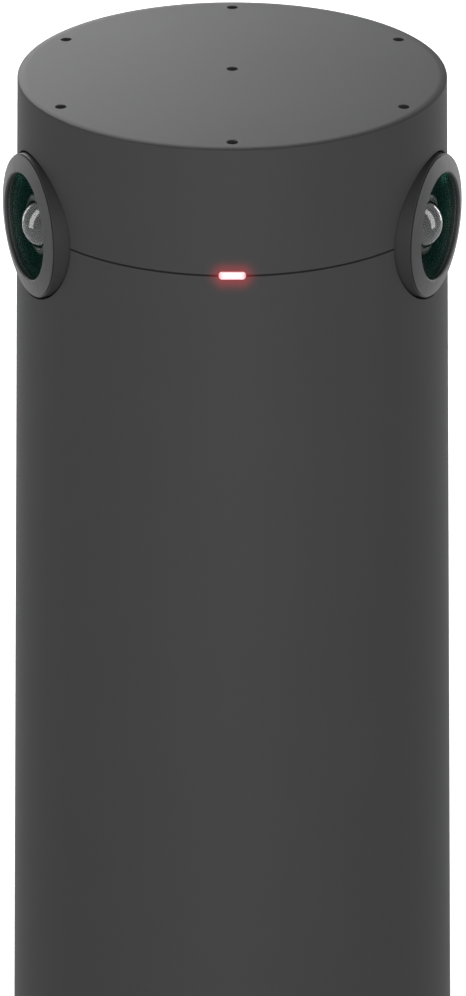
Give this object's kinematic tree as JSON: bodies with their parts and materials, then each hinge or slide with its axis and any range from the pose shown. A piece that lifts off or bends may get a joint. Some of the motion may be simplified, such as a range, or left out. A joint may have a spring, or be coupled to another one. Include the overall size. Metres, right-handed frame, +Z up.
{
  "type": "conference camera",
  "caption": "Tall tapered tabletop conference camera with wide-angle lens modules left and right on its seam, microphone ports in the top, a status light and a rear port recess.",
  "frame": {"origin": "centre of the foot, on the surface that the camera stands on", "axes": "+Z up along the column, -Y towards the status light, +X to the right seen from behind"},
  "size_m": [0.0906, 0.0906, 0.28],
  "materials": {
    "graphite_housing": "matte graphite coating",
    "light_pipe": "translucent, lit",
    "circuit_board": "solder mask",
    "led_package": "moulded package",
    "foam": "open-cell acoustic foam",
    "tin_plate": "tinned can",
    "dark_ring": "dark satin anodised",
    "lens_glass": "coated glass",
    "black_polymer": "black moulded",
    "sensor_glass": "glass lid",
    "die_cast": "bare die casting",
    "brass_insert": "turned brass",
    "foot_rubber": "matte rubber",
    "ballast_iron": "bare cast",
    "chip_package": "moulded package",
    "thermal_silicone": "soft silicone",
    "heat_sink_black": "black anodised",
    "port_plastic": "fine matte",
    "jack_plastic": "moulded",
    "gold_contact": "gold-plated",
    "jack_shell": "plated steel",
    "lock_steel": "stamped steel",
    "button_plastic": "matte moulded"
  },
  "bodies": {
    "camera": {"top_housing": "graphite_housing", "main_housing": "graphite_housing", "status_light_pipe": "light_pipe", "status_light_board": "circuit_board", "status_leds": "led_package", "port_foams": "foam", "microphones": "tin_plate", "mic_board": "circuit_board", "lens_barrels": "dark_ring", "front_elements": "lens_glass", "inner_elements": "lens_glass", "lens_holder_left": "black_polymer", "lens_holder_right": "black_polymer", "sensor_board_left": "circuit_board", "sensor_board_right": "circuit_board", "image_sensor_left": "sensor_glass", "image_sensor_right": "sensor_glass", "camera_cradle": "die_cast", "base_frame": "die_cast", "tripod_insert": "brass_insert", "foot_pad": "foot_rubber", "ballast_block": "ballast_iron", "main_board": "circuit_board", "shield_cans": "tin_plate", "processor": "chip_package", "memory_chips": "chip_package", "thermal_pad": "thermal_silicone", "heat_sink": "heat_sink_black", "port_panel": "port_plastic", "network_jack": "jack_plastic", "network_contacts": "gold_contact", "usb_jack": "jack_shell", "usb_tongue": "jack_plastic", "lock_slot_plate": "lock_steel", "io_board": "circuit_board", "io_standoffs": "brass_insert", "reset_switch": "black_polymer"},
    "reset_button": {"reset_button": "button_plastic"}
  },
  "joints": [
    {"name": "reset_press", "type": "slide", "parent": "camera", "child": "reset_button", "axis": [0, -1, 0], "range_m": [0, 0.0005], "stiffness_N_per_m": 400}
  ]
}
